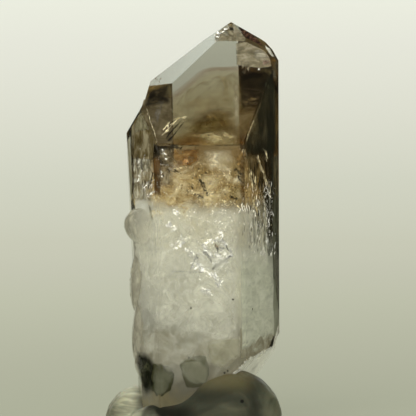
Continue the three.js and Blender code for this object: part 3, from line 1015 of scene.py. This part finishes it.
# Cracks: name, face and lines, each with its two ends across and up the face (u, v, u, v). Then
# spacing, width and inset, as along_lines takes them, size, slim and spin, as flakes takes
# them, and the material.
LINED = (
    ("star_crack", "front", ((-1.4, -5.3, 0.1, -4.4), (-1.8, -4.7, -1.0, -6.1),
     (0.9, -4.2, 2.0, -5.3), (1.5, -3.0, 1.4, -4.7), (1.7, -6.1, 3.0, -7.0),
     (-1.1, -6.1, 0.1, -7.8), (-3.8, -5.9, -2.4, -7.3), (-2.2, -8.7, -0.8, -9.7),
     (-3.3, -8.9, -1.9, -8.3), (0.3, -8.7, 2.2, -8.0), (0.8, -7.5, 2.6, -7.0),
     (-0.2, -9.7, 1.4, -11.3), (1.4, -11.3, 1.1, -12.0), (-1.9, -11.9, 0.0, -13.0),
     (-2.5, -7.9, -1.4, -9.2)),
     0.13, 0.17, (0.5, 1.6), (0.25, 1.0), (0.2, 0.5), 0.5, "silver"),
    ("star_crack_grey", "front", ((-1.4, -5.3, 1.9, -4.4), (-1.6, -5.4, 1.2, -7.8),
     (1.6, -3.2, 1.0, -7.2), (2.0, -5.3, 3.2, -7.2), (-3.6, -6.4, -1.6, -9.2),
     (0.0, -8.7, 2.4, -7.4), (-0.4, -9.2, 1.2, -12.0), (-2.0, -12.2, 0.0, -13.2)),
     0.12, 0.25, (0.5, 1.6), (0.2, 0.9), (0.2, 0.6), 0.6, "mist"),
    ("star_crack_edges", "front", ((-1.4, -6.2, 0.2, -8.1), (2.9, -7.0, 0.3, -8.9),
     (0.5, -5.1, 0.8, -6.1), (1.1, -5.6, 1.8, -5.9), (2.2, -5.5, 2.6, -6.1),
     (-2.4, -7.0, -2.1, -7.5)),
     0.14, 0.08, (0.4, 0.7), (0.3, 1.1), (0.12, 0.35), 0.2, "grey"),
    ("level_crack", "front", ((-6.4, -9.4, -1.4, -9.6), (-3.5, -9.3, -2.7, -7.6)),
     0.12, 0.02, (0.4, 0.6), (0.3, 0.6), (0.08, 0.16), 0.1, "grey"),
    ("white_spots", "front", ((-6.3, 0.0, -5.2, -0.7), (-6.8, -2.0, -5.4, -2.8),
     (-4.9, -5.0, -5.7, -5.9), (-3.9, -3.9, -5.0, -4.8)),
     0.09, 0.30, (0.5, 1.6), (0.2, 0.8), (0.4, 0.9), 0.6, "silver"),
    ("gold_zone_flecks", "front", ((-2.1, 4.9, -1.4, 4.3), (-1.6, 4.3, -1.0, 3.3),
     (-1.3, 3.5, -0.5, 2.5), (-3.9, 7.9, -3.8, 6.9), (3.7, 6.7, 4.7, 5.5), (4.0, 5.5, 5.1, 3.9),
     (-2.7, 2.5, -1.3, 2.1), (-6.1, 6.3, -4.7, 6.1), (-3.3, 4.3, -3.0, 3.6),
     (2.8, 2.4, 4.0, 1.7), (-6.5, 9.9, -4.8, 9.9)),
     0.14, 0.12, (0.5, 1.2), (0.25, 0.8), (0.2, 0.5), 0.5, "dark"),
    ("cream_streaks", "front", ((0.8, 6.6, 2.3, 5.2), (0.0, 7.5, 1.1, 6.4), (2.3, 6.4, 3.7, 4.6),
     (-6.0, 6.8, -4.7, 6.6), (-4.4, 8.0, -4.1, 7.2), (-2.5, 2.5, -1.9, 1.9),
     (1.2, 1.7, 2.2, 1.1), (2.5, 0.8, 3.7, 1.6), (3.7, 1.1, 4.5, -0.1), (-1.0, 2.2, 0.0, 2.8),
     (-3.8, 3.2, -2.5, 2.4), (-5.7, 3.3, -4.1, 4.4), (4.5, 9.9, 4.9, 9.0), (4.9, 9.4, 5.3, 8.2)),
     0.16, 0.14, (0.5, 1.3), (0.15, 0.6), (0.15, 0.5), 0.6, "gold"),
    ("corner_scribble", "front", ((-8.2, 8.0, -7.2, 7.1), (-7.7, 8.3, -6.8, 7.2),
     (-8.3, 6.8, -7.5, 5.5), (-7.2, 6.8, -6.6, 5.8), (-8.2, 9.6, -7.5, 9.0)),
     0.13, 0.12, (0.4, 0.9), (0.2, 0.8), (0.2, 0.5), 0.5, "dark"),
    ("corner_glints", "front", ((-7.8, 9.4, -7.5, 8.6), (-8.2, 7.4, -7.1, 6.8),
     (-7.5, 5.7, -6.9, 4.9), (-8.5, 8.3, -8.0, 7.2), (-7.2, 7.5, -6.4, 6.5),
     (-6.3, 7.4, -6.0, 6.5), (-8.4, 4.6, -7.4, 3.0)),
     0.13, 0.18, (0.4, 1.2), (0.15, 0.5), (0.2, 0.6), 0.7, "mist"),
    ("corner_flash", "front", ((-7.8, 9.6, -7.2, 8.8), (-7.4, 8.4, -6.9, 8.1),
     (-8.0, 6.2, -7.7, 5.4)),
     0.14, 0.08, (0.3, 0.7), (0.2, 0.7), (0.2, 0.5), 0.4, "silver"),
    ("brown_eye", "front", ((0.4, -5.2, 1.0, -5.7), (0.6, -5.7, 1.1, -5.4)),
     0.14, 0.05, (0.3, 0.5), (0.2, 0.5), (0.3, 0.6), 0.3, "brown_chip"),
    ("needles", "tip_front", ((-7.5, 4.4, -5.0, 7.8), (-5.6, 7.6, -3.9, 7.9),
     (-7.4, 5.5, -6.7, 6.5)),
     0.16, 0.07, (0.5, 0.8), (0.3, 1.1), (0.10, 0.25), 0.2, "gold"),
    ("needle_shadows", "tip_front", ((-7.0, 4.0, -4.6, 7.2), (-6.5, 3.4, -4.5, 6.5)),
     0.2, 0.05, (0.5, 0.8), (0.5, 1.4), (0.08, 0.18), 0.12, "dark"),
    ("top_edge", "tip_front", ((-8.4, 2.25, -2.0, 2.25), (0.6, 2.25, 4.9, 2.25)),
     0.14, 0.02, (0.1, 0.2), (0.3, 0.6), (0.06, 0.14), 0.05, "dark"),
    ("left_glints", "left", ((-2.0, 4.6, -1.0, 6.2), (-1.1, 9.9, -0.7, 11.9),
     (-0.1, 8.0, 0.5, 9.3), (0.7, 2.4, 3.1, 3.2), (-2.1, 6.7, -1.2, 8.0), (1.6, 3.7, 2.8, 5.0),
     (-0.4, 3.3, 0.8, 4.4)),
     0.14, 0.14, (0.3, 0.9), (0.2, 0.8), (0.12, 0.35), 0.4, "silver"),
    ("left_shadows", "left", ((3.5, 10.3, 4.0, 8.7), (2.0, 8.1, 4.0, 9.2), (1.1, 4.9, 1.3, 3.3),
     (-0.9, 8.0, -0.7, 6.4), (2.3, 6.2, 1.9, 4.3)),
     0.16, 0.08, (0.3, 0.6), (0.3, 1.1), (0.12, 0.3), 0.3, "dark"),
    ("right_needles", "right", ((0.0, 8.2, 1.1, 6.1), (0.7, 6.9, 3.2, 3.7),
     (-1.6, 5.3, -0.9, 3.0), (2.2, 9.6, 3.0, 7.7), (-3.1, 6.3, -2.4, 3.7),
     (-0.9, 2.2, -1.7, -0.1), (3.7, 4.1, 4.4, 1.7), (-2.4, 1.5, -0.2, -0.5)),
     0.24, 0.12, (0.4, 1.6), (0.5, 1.7), (0.06, 0.16), 0.15, "gold"),
    ("right_glints", "right", ((2.9, 3.5, 4.4, 1.2), (-0.9, 1.5, 0.6, -0.7),
     (1.4, 2.0, 2.9, -0.6), (-2.4, -0.1, -0.9, -2.0), (4.4, 0.4, 5.5, -1.7),
     (0.6, -0.8, 2.1, -3.1), (-3.9, 0.8, -2.8, -1.0), (2.9, -1.6, 4.3, -3.9),
     (-0.9, -2.4, -0.2, -4.6), (-3.2, -2.5, -2.5, -4.8)),
     0.24, 0.18, (0.4, 1.6), (0.3, 0.9), (0.04, 0.12), 0.2, "silver"),
    ("apex_nicks", "cap", ((1.7, 20.8, 2.8, 22.5), (1.4, 21.2, 2.1, 22.0),
     (2.8, 22.5, 3.6, 23.0)),
     0.14, 0.12, (0.3, 0.6), (0.2, 0.7), (0.2, 0.6), 0.4, "silver"),
    ("band_nick", "tip_back_left", ((5.3, 10.3, 4.6, 11.5), (4.6, 11.5, 3.2, 12.1),
     (2.4, 10.3, 3.3, 11.9)),
     0.22, 0.05, (0.3, 0.5), (0.2, 0.6), (0.06, 0.16), 0.15, "brown_chip"),
    ("left_edge_glint", "tip_front", ((-10.0, 9.4, -8.45, 2.8),),
     0.26, 0.05, (0.12, 0.3), (0.25, 0.8), (0.08, 0.22), 0.15, "gold"),
    ("edge_glint", "tip_front", ((5.5, 3.4, 6.7, 7.0),),
     0.3, 0.04, (0.12, 0.3), (0.3, 0.9), (0.05, 0.12), 0.1, "gold"),
)

# Chips strewn in an ellipsoid: name, how many, centre, half-axes, size, slim, spin, material.
IN_CLOUDS = (
    ("crack_dust", 240, (0.4, -8.5, -7.6), (3.4, 0.7, 4.0), (0.1, 0.5), (0.3, 0.8), 0.8, "silver"),
    ("milk_sparkle", 260, (0.8, -8.4, -1.0), (4.9, 0.7, 3.0), (0.08, 0.35), (0.3, 0.8), 1.0,
     "silver"),
    ("golden_glints", 520, (-0.6, -4.0, 3.6), (6.2, 5.0, 4.0), (0.10, 0.45), (0.3, 0.9), 1.0,
     "gold"),
    ("golden_zone_dust", 260, (-0.8, -4.0, 4.0), (6.4, 5.0, 4.0), (0.1, 0.4), (0.3, 0.9), 1.0,
     "dark"),
)

# Upright chips strewn behind a face: name, how many, face, across, up, inset, size, slim, spin,
# material.
BEHIND_FACES = (
    ("right_streaks", 170, "right", (-4.6, 6), (-8, 4), (0.3, 1.6), (0.3, 1.2), (0.05, 0.16), 0.3,
     "silver"),
    ("right_dust", 120, "right", (-4.8, 6), (-20, 9.5), (0.3, 2.0), (0.08, 0.25), (0.3, 0.9), 0.8,
     "gold"),
    ("left_streaks", 60, "left", (-2.6, 2.4), (0, 12), (0.4, 1.4), (0.3, 1.2), (0.06, 0.2), 0.3,
     "mist"),
    ("right_gaps", 150, "right", (-4.6, 6), (-7, 4.5), (0.25, 1.2), (0.3, 1.3), (0.05, 0.18), 0.3,
     "dark"),
)

# Single dark grains.
GRAINS = ((3.9, -9.1, -13.9), (6.9, -6.6, -15.6), (-12.0, -4.6, -4.2), (-11.3, -4.0, -5.9),
          (-3.0, -9.1, -23.0), (3.1, -9.0, -25.1), (2.6, -9.0, -25.4), (-2.7, -8.9, -15.2))

FRONTWARDS, UPWARDS = (0, -1, 0), (0, 0, 1)


def tones_of(look, tones):
    """Tones as linear colours, from display values or the names of look's colours."""
    return [getattr(look, tone) if isinstance(tone, str) else display(*tone) for tone in tones]


# --- pieces ------------------------------------------------------------------------------------

def copy_of_node(name, node, sharpest=22.0, flat=3.0, level=0.3, bevel=0.07, long=3.0,
                 large=4.0, weld=0.005):
    """The CAD node's own shape as one joined skin, with its long edges a little blunted.

    Points closer than weld are joined, and so are faces that turn by less than level degrees.
    An edge stays sharp where it turns by more than sharpest degrees, or by more than flat
    beside a face larger than large square millimetres, so that large faces stay flat."""
    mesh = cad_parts[node].data.copy()
    mesh.name = name
    skin = bmesh.new()
    skin.from_mesh(mesh)
    bmesh.ops.remove_doubles(skin, verts=skin.verts, dist=weld * MM)
    bmesh.ops.dissolve_degenerate(skin, edges=skin.edges, dist=weld * MM)
    bmesh.ops.dissolve_limit(skin, angle_limit=math.radians(level), verts=skin.verts,
                             edges=skin.edges)
    sharpest, flat = math.radians(sharpest), math.radians(flat)
    edges = [edge for edge in skin.edges
             if edge.calc_length() > long * MM and edge.calc_face_angle(0) > sharpest]
    bmesh.ops.bevel(skin, geom=edges, offset=bevel * MM, offset_type="OFFSET", segments=1,
                    affect="EDGES", clamp_overlap=True)
    for edge in skin.edges:
        widest = max(face.calc_area() for face in edge.link_faces)
        edge.smooth = edge.calc_face_angle(0) < (flat if widest > large * MM ** 2 else sharpest)
    for face in skin.faces:
        face.smooth = True
    skin.to_mesh(mesh)
    skin.free()
    mesh.materials.clear()
    return mesh


class POINT_OT_hull(bpy.types.Operator):
    """The clear outside of the point."""
    bl_idname = "quartz.hull"
    bl_label = "Clear outside"

    def execute(self, context):
        material = quartz_material(context.scene.quartz_look)
        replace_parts(add_piece(copy_of_node("clear_point", "crystal"), material), "crystal")
        return {"FINISHED"}


class POINT_OT_smoke(bpy.types.Operator):
    """The smoky growth zones under the tip, and the line along the phantom's top."""
    bl_idname = "quartz.smoke"
    bl_label = "Smoky zones"

    def execute(self, context):
        look = context.scene.quartz_look
        heart, spread = (0.8, 0.5, 8.0), (8, 8, 10)
        swell = [(0.15, 7.0, 11)]

        def dome(inset, drop, lower=0.0):
            """The planes of the phantom: the point's own, and its level top and left slope."""
            return walls(inset, PRISM + TIP, drop,
                         [(180, 74, 22.0 - lower), (-105, 42, 15.8 - lower), (0, -90, 6.0)])

        ridge = [(180, 74, 13.2), (-107, 46, 9.4), (103, 37, 10.6)]
        hollow = [(180, 74, 10.2), (-107, 46, 6.6), (103, 37, 8.3)]
        for mesh, material, colour, strength in (
                (inner_body("smoky_haze", heart, spread, dome(0.5, 3.6, 0.75), 20, swell),
                 "pale_smoke", look.haze, look.haze_density),
                (dome_shell("phantom_line", heart, spread, dome(0.3, 3.0),
                            dome(0.42, 3.4, 0.65), 18, swell, 5),
                 "phantom_brown", look.line, look.line_density),
                (dome_shell("brown_zone", (1.2, 0.0, 4.0), (8, 8, 8),
                            walls(1.1, PRISM + TIP, more=ridge),
                            walls({"": 2.2, "back": 1.6, "left": 4.0}, PRISM, more=hollow), 9,
                            [(0.5, 5.0, 41), (0.2, 1.6, 42)], -4),
                 "brown_smoke", look.brown, look.brown_density),
                (inner_body("golden_zone", (0.5, 0.0, 2.0), (8, 8, 6),
                            walls(1.0, PRISM, more=[(0, 90, 7.6), (0, -90, 5.0)]), 12,
                            [(0.4, 5.0, 43)]),
                 "golden_smoke", look.golden, look.golden_density)):
            add_piece(mesh, smoke_material(material, colour, strength))

        tones = tones_of(look, ((126, 110, 72), (162, 150, 108), (190, 180, 138)))
        for number, lower in enumerate((1.2, 3.0, 5.4)):
            sheet = dome_sheet(f"wisp_{number + 1}", heart, spread, dome(1.4 + number, 3.8, lower),
                               10, [(0.5, 4.0, 12 + number)])
            add_piece(sheet, cloud_material(f"wisps_{number + 1}", tones, 4.5, (0.0, 0.42),
                                            (0.42, 0.74), 0.34, (1.3, 1.3, 1.0), 0.8, soft=0.0))
        return {"FINISHED"}


class POINT_OT_veils(bpy.types.Operator):
    """The smoky and coloured veils just under the faces."""
    bl_idname = "quartz.veils"
    bl_label = "Veils"

    def execute(self, context):
        look = context.scene.quartz_look
        for seed, (name, face, inset, outline, tones, size, cover, cut, glow, stretch,
                   soft) in enumerate(VEILS, 200):
            stretch = stretch if isinstance(stretch, tuple) else (1, 1, stretch)
            add_piece(veil(name, face, outline, inset, seed),
                      cloud_material(name, tones_of(look, tones), size, cover, cut, glow,
                                     stretch, soft=soft, grain=0.7))
        outline = (-5.5, 1.0), (6.0, 0.0), (6.6, -19.6), (3.8, -22.3), (-5.5, -23.3)
        tones = tones_of(look, ((172, 174, 152), (188, 190, 167), (200, 201, 180)))
        add_piece(veil("right_milk", "right", outline, 0.6, 199),
                  cloud_material("right_milk", tones, 3.4, (0.80, 0.97), (0.30, 0.6), 0.47,
                                 (1.2, 1.2, 0.7), 0.9, (-23.5, -20.0, -10.5, -4.5), 0.95))
        return {"FINISHED"}


class POINT_OT_milk(bpy.types.Operator):
    """The milky lower half, its growths, and the thin clouds in front of it and above it."""
    bl_idname = "quartz.milk"
    bl_label = "Milky quartz"

    def execute(self, context):
        look = context.scene.quartz_look
        white = np.array(look.milk)
        faces = PRISM + BREAKS
        heart, spread = (-2.5, 0.0, -13.0), (8, 8, 17)
        inset = {"": 1.6, "right": 2.0, "back_right": 3.4, "left": 1.0, "far_left": 0.8,
                 "front": 2.2, "break_low": 0.7, "break_side": 0.7}
        planes = walls(inset, faces, more=[(0, 90, 3.5), (0, -90, 34.0)])
        core = inner_body("milky_core", heart, spread, planes, 40,
                          [(0.22, 5.0, 5), (0.05, 1.2, 6)], 150, 200)
        add_piece(core, milk_material(look))

        # The growths' skins, which glow strongly as painted light. The largest growth fades into
        # the milk on its inner side.
        warm = white * (1.0, 0.96, 0.84)
        skins = [cloud_material(f"growth_skin_{number}", (warm * 0.18, warm * 0.24, warm * 0.31),
                                2.0, cover, (0.3, 0.6), 1.0, (1, 1, 2), soft=-0.1)
                 for number, cover in ((1, (0.70, 0.95)), (2, (0.60, 0.92)))]
        for number, (centre, radii, tilt, inside) in enumerate(GROWTHS):
            mesh = ellipsoid(f"milky_growth_{number + 1}", centre, np.array(radii) - inside, tilt,
                             [(0.12, 2.0, 51 + number)])
            if number == 0:
                mark(mesh, "edge", [(corner.co.x / MM - centre[0]) / radii[0]
                                    for corner in mesh.vertices])
            add_piece(mesh, skins[min(number, 1)])

        tones = white * 0.66, white * 0.86, white
        for number, (step, top, most) in enumerate(((0.4, 1.0, 0.45), (0.9, 0.0, 0.55),
                                                    (1.5, 2.0, 0.60))):
            planes = walls({"": step, "right": step + 1.5, "back_right": step + 3.0}, faces,
                           more=[(0, 90, top), (0, -90, 33.5), (75, 45, 3.5 + number)])
            mesh = inner_body(f"milky_veil_{number + 1}", heart, spread, planes, 40,
                              [(0.12, 4.0, 15 + number)], 90, 120)
            add_piece(mesh, cloud_material(
                f"thin_cloud_{number + 1}", tones, 4.5 - number, (0.0, most), (0.40, 0.68), 0.42,
                swirl=1.0, fade=(-27, -16, -1.5, 2.6)))

        frost = cloud_material("frosted_break", (white * 0.52, white * 0.76, white), 1.2,
                               (0.5, 0.92), (0.3, 0.6), 0.40)
        for number, (middle, back) in enumerate((((6.6, -2.0, -25.2), (250, 40, -21.45)),
                                                 ((10.3, 1.5, -21.1), (284, 24, -18.55)))):
            planes = walls({"": 0.3, "break_low": 0.12, "break_side": 0.12}, faces,
                           more=[back, (0, -90, 34.0)])
            add_piece(inner_body(f"frosted_break_{number + 1}", middle, (8, 8, 8), planes, 40,
                                 [(0.04, 1.0, 81 + number)]), frost)

        tones = look.amber, look.gold, look.cream
        for number, (step, most) in enumerate(((1.3, 0.55), (2.4, 0.65), (3.8, 0.75),
                                               (5.4, 0.85))):
            name = f"golden_cloud_{number + 1}"
            planes = walls({"": step, "right": step + 4.0, "back_right": step + 2.0}, PRISM,
                           more=[(0, 90, 10.6 + 0.3 * number), (0, -90, 3.5)])
            mesh = inner_body(name, (0.0, 0.0, 3.0), (8, 8, 7), planes, 10,
                              [(0.5, 4.0, 25 + number)], 60, 100)
            add_piece(mesh, cloud_material(
                name, tones, 2.4, (0.0, most), (0.40, 0.66), 0.50, (1.5, 1.5, 0.9), 1.2,
                (-0.8, 2.4, 5.5, 9.6), grain=0.35))
        return {"FINISHED"}


class POINT_OT_cracks(bpy.types.Operator):
    """The bright chips of cracks and healed fractures, glowing as painted glints, and the dark
    grains.
    """
    bl_idname = "quartz.cracks"
    bl_label = "Cracks and grains"

    def execute(self, context):
        look = context.scene.quartz_look
        flash, ink, cream, gold = (np.array(colour) for colour in (
            look.flash, look.ink, look.cream, look.gold))
        # The chips glow: the bright ones are painted glints of the cracks.
        skins = {
            "silver": chip_material("bright_chips", flash, flash * 0.35, 0.78),
            "gold": chip_material("golden_chips", cream, gold * 0.6, 0.42),
            "mist": chip_material("pale_chips", flash * 0.62, flash * 0.30, 0.42),
            "dark": chip_material("dark_chips", ink * 1.6, ink, 0.2, 0.5),
            "brown_chip": chip_material("brown_chips", display(150, 134, 106),
                                        display(98, 82, 60), 0.4, 0.5),
            "grey": chip_material("grey_chips", flash * 0.30, flash * 0.12, 0.30, 0.4),
        }
        chance = np.random.default_rng(3)
        for seed, (name, face, lines, spacing, width, inset, size, slim, spin,
                   skin) in enumerate(LINED, 100):
            places, lie = along_lines(chance, face, lines, spacing, width, inset)
            add_piece(flakes(name, places, size, slim, seed, lie, FOUND[face][0], spin),
                      skins[skin])
        strewn = [(name, cloud_of(chance, *where), size, slim, None, spin, skin)
                  for name, *where, size, slim, spin, skin in IN_CLOUDS]
        strewn += [(name, along_face(chance, *where), size, slim, UPWARDS, spin, skin)
                   for name, *where, size, slim, spin, skin in BEHIND_FACES]
        for seed, (name, places, size, slim, lie, spin, skin) in enumerate(strewn, 130):
            add_piece(flakes(name, places, size, slim, seed, lie, None, spin), skins[skin])
        # One bright dot high on the front tip face, a painted highlight, and the dark grains.
        dot = on_face("tip_front", np.array([[8.17, 17.4]]), 0.15)
        add_piece(flakes("painted_highlight_dot", dot, (0.4, 0.42), (0.8, 0.9), 141, UPWARDS, FRONTWARDS, 0.1),
                  skins["silver"])
        add_piece(flakes("grains", np.array(GRAINS), (0.35, 0.5), (0.5, 0.9), 140, UPWARDS,
                         FRONTWARDS, 0.2, rings=1), skins["dark"])
        return {"FINISHED"}


class POINT_OT_seeds(bpy.types.Operator):
    """The grey-green crystals enclosed just above the putty."""
    bl_idname = "quartz.seeds"
    bl_label = "Enclosed crystals"

    def execute(self, context):
        for number, (centre, radii, tilt, outline, most, tones) in enumerate((
                ((-7.2, -7.9, -26.7), (1.6, 1.0, 2.5), 10, (72, 72, 46), 1.0,
                 ((84, 86, 64), (112, 113, 89))),
                ((-2.0, -8.0, -25.3), (2.3, 1.2, 2.4), -24, (98, 98, 72), 0.9,
                 ((126, 126, 102), (146, 146, 122))))):
            # Ten faces on the unit sphere, stretched by the radii.
            normals = np.array([heading(turn + 25 * number, rise) for turn, rise in (
                (0, 8), (64, -12), (118, 15), (180, 0), (-118, 6), (-62, -14), (20, 62),
                (-150, 55), (70, -58), (-80, -64))])
            normals = tilted(normals, tilt) / radii
            size = np.linalg.norm(normals, axis=1)
            normals = normals / size[:, None]
            planes = normals, 0.9 / size * MM + (normals * centre * MM).sum(1)
            mesh = inner_body(f"enclosed_crystal_{number + 1}", centre, (1, 1, 1), planes, 22,
                              [(0.08, 1.6, 61 + number)], 40, 64)
            add_piece(mesh, seed_material(f"grey_green_{number + 1}",
                                          [display(*tone) for tone in tones],
                                          display(*outline), most))
        return {"FINISHED"}


class POINT_OT_putty(bpy.types.Operator):
    """The lump of putty."""
    bl_idname = "quartz.putty"
    bl_label = "Putty"

    def execute(self, context):
        lump = add_piece(putty_skin(), putty_material(context.scene.quartz_putty))
        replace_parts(lump, "putty")
        return {"FINISHED"}


class POINT_OT_stage(bpy.types.Operator):
    """The floor and backdrop, the lights and the camera."""
    bl_idname = "quartz.stage"
    bl_label = "Stage"

    def execute(self, context):
        settings = context.scene.quartz_stage
        scene = context.scene
        camera = bpy.data.cameras.new("camera")
        camera.lens = settings.lens
        camera.sensor_width = 36
        camera.clip_start = 0.01
        viewer = bpy.data.objects.new("camera", camera)
        scene.collection.objects.link(viewer)
        back = Vector((0, -math.cos(settings.rise), math.sin(settings.rise)))
        viewer.location = Vector(MIDDLE) + back * settings.distance
        viewer.rotation_euler = (math.pi / 2 - settings.rise, 0, 0)
        scene.camera = viewer

        # The sweep: wall, curve and floor as a profile turned about the vertical.
        radius, run, wall = 0.16, 0.42, 0.62
        turn = np.linspace(math.pi / 2, 0, 28)
        r = np.concatenate([[run + radius] * 2, run + radius * np.sin(turn), [0.3, 0.2, 0.1, 0.0]])
        z = np.concatenate([[wall, wall / 2], radius - radius * np.cos(turn), [0.0] * 4])
        around = full_turn(96)
        points = np.stack([r[:, None] * np.cos(around), -r[:, None] * np.sin(around),
                           np.broadcast_to(z[:, None], (len(z), len(around)))], -1)
        add_object(capped("sweep", points), sweep_material(settings))

        world = bpy.data.worlds.new("room")
        world.use_nodes = True
        world.node_tree.nodes["Background"].inputs[0].default_value = (0.06, 0.06, 0.055, 1)
        scene.world = world

        # Soft square lamps that face the point and that shiny faces don't show.
        for name, place, size, power in (("top_back", (-0.08, 0.26, 0.46), 0.22, 1.6),
                                         ("front_fill", (-0.10, -0.42, 0.40), 0.30, 3.0)):
            light = bpy.data.lights.new(name, "AREA")
            light.size = size
            light.energy = power
            lamp = bpy.data.objects.new(name, light)
            lamp.location = place
            aim = Vector(MIDDLE) - Vector(place)
            lamp.rotation_euler = aim.to_track_quat("-Z", "Y").to_euler()
            lamp.visible_glossy = False
            scene.collection.objects.link(lamp)
        scene.view_settings.view_transform = "Standard"
        for name, most in (("max_bounces", 40), ("transmission_bounces", 36),
                           ("glossy_bounces", 6), ("diffuse_bounces", 3),
                           ("transparent_max_bounces", 40)):
            setattr(scene.cycles, name, most)
        scene.cycles.caustics_refractive = True
        return {"FINISHED"}


SETTINGS = {"quartz_look": QuartzSettings, "quartz_putty": PuttySettings,
            "quartz_stage": StageSettings}
PARTS = (POINT_OT_hull, POINT_OT_smoke, POINT_OT_veils, POINT_OT_milk, POINT_OT_cracks,
         POINT_OT_seeds, POINT_OT_putty, POINT_OT_stage)


class POINT_PT_panel(bpy.types.Panel):
    bl_label = "Quartz point"
    bl_idname = "POINT_PT_panel"
    bl_space_type = "VIEW_3D"
    bl_region_type = "UI"
    bl_category = "Quartz"

    def draw(self, context):
        for name, group in SETTINGS.items():
            for setting in group.__annotations__:
                self.layout.prop(getattr(context.scene, name), setting)
        for part in PARTS:
            self.layout.operator(part.bl_idname)


def register():
    for name, group in SETTINGS.items():
        bpy.utils.register_class(group)
        setattr(bpy.types.Scene, name, bpy.props.PointerProperty(type=group))
    for part in (*PARTS, POINT_PT_panel):
        bpy.utils.register_class(part)


def unregister():
    for part in (POINT_PT_panel, *reversed(PARTS)):
        bpy.utils.unregister_class(part)
    for name, group in SETTINGS.items():
        delattr(bpy.types.Scene, name)
        bpy.utils.unregister_class(group)


def main():
    register()
    bpy.ops.quartz.hull()
    bpy.ops.quartz.smoke()
    bpy.ops.quartz.veils()
    bpy.ops.quartz.milk()
    bpy.ops.quartz.cracks()
    bpy.ops.quartz.seeds()
    bpy.ops.quartz.putty()
    bpy.ops.quartz.stage()
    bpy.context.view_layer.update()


if __name__ == "__main__":
    main()
